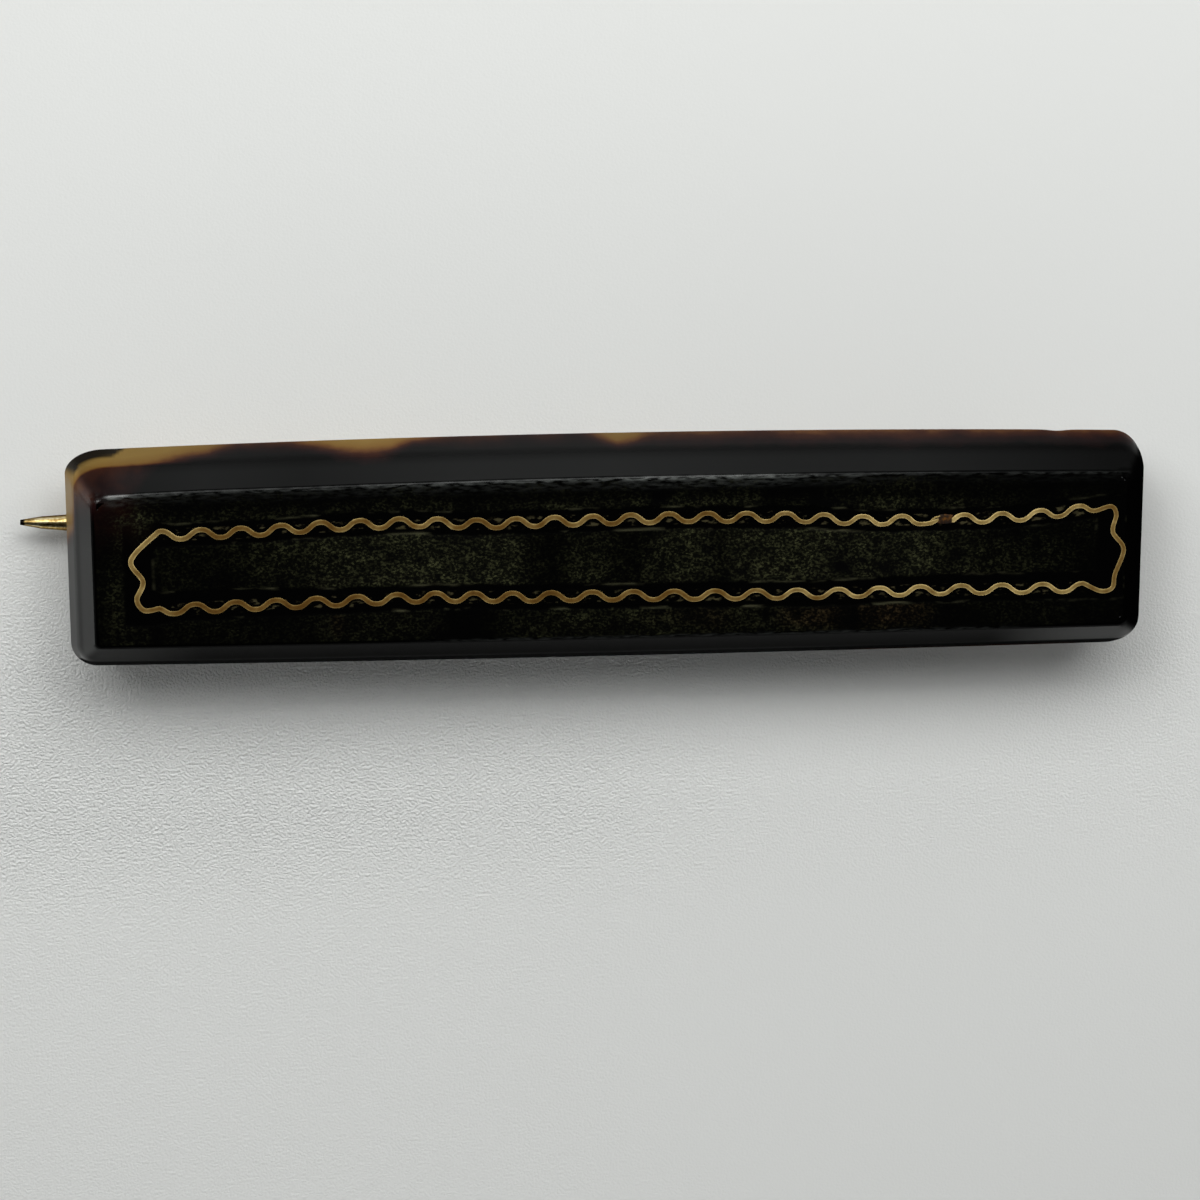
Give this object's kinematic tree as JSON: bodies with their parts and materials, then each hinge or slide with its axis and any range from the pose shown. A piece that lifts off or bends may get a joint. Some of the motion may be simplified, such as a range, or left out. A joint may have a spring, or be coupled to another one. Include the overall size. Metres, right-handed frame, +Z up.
{
  "type": "inlaid bar brooch",
  "caption": "Slim dark tortoiseshell bar brooch with bevelled edges and a wavy gold wire let into its face as a long rectangle, with a hinged brass pin and C-shaped catch behind.",
  "frame": {"origin": "middle of the whole brooch's box, at the surface that it stands on", "axes": "+X along the bar from the pin's point to the hinge, +Y across it to the side that the pin's point leans to, +Z up through the inlaid face"},
  "size_m": [0.0626, 0.013, 0.0059],
  "materials": {
    "tortoiseshell": "polished natural horn-like shell, near black with amber where thin, hazed with fine scratches",
    "gold": "worn low-carat gold, flattened flush with the face",
    "filler": "old brown resin",
    "fittings": "aged brass",
    "pin": "drawn brass, lightly tarnished"
  },
  "bodies": {
    "bar": {"shell_bar": "tortoiseshell", "gold_wire": "gold", "joint_filler": "filler", "hinge_leaf": "fittings", "hinge_pivot": "fittings", "catch": "fittings"},
    "pin": {"pin_stem": "pin"}
  },
  "joints": [
    {"name": "pin_hinge", "type": "hinge", "parent": "bar", "child": "pin", "pos_m": [0.0253, 0, 0.0012], "axis": [0, -1, 0], "range_deg": [0, 100]}
  ]
}
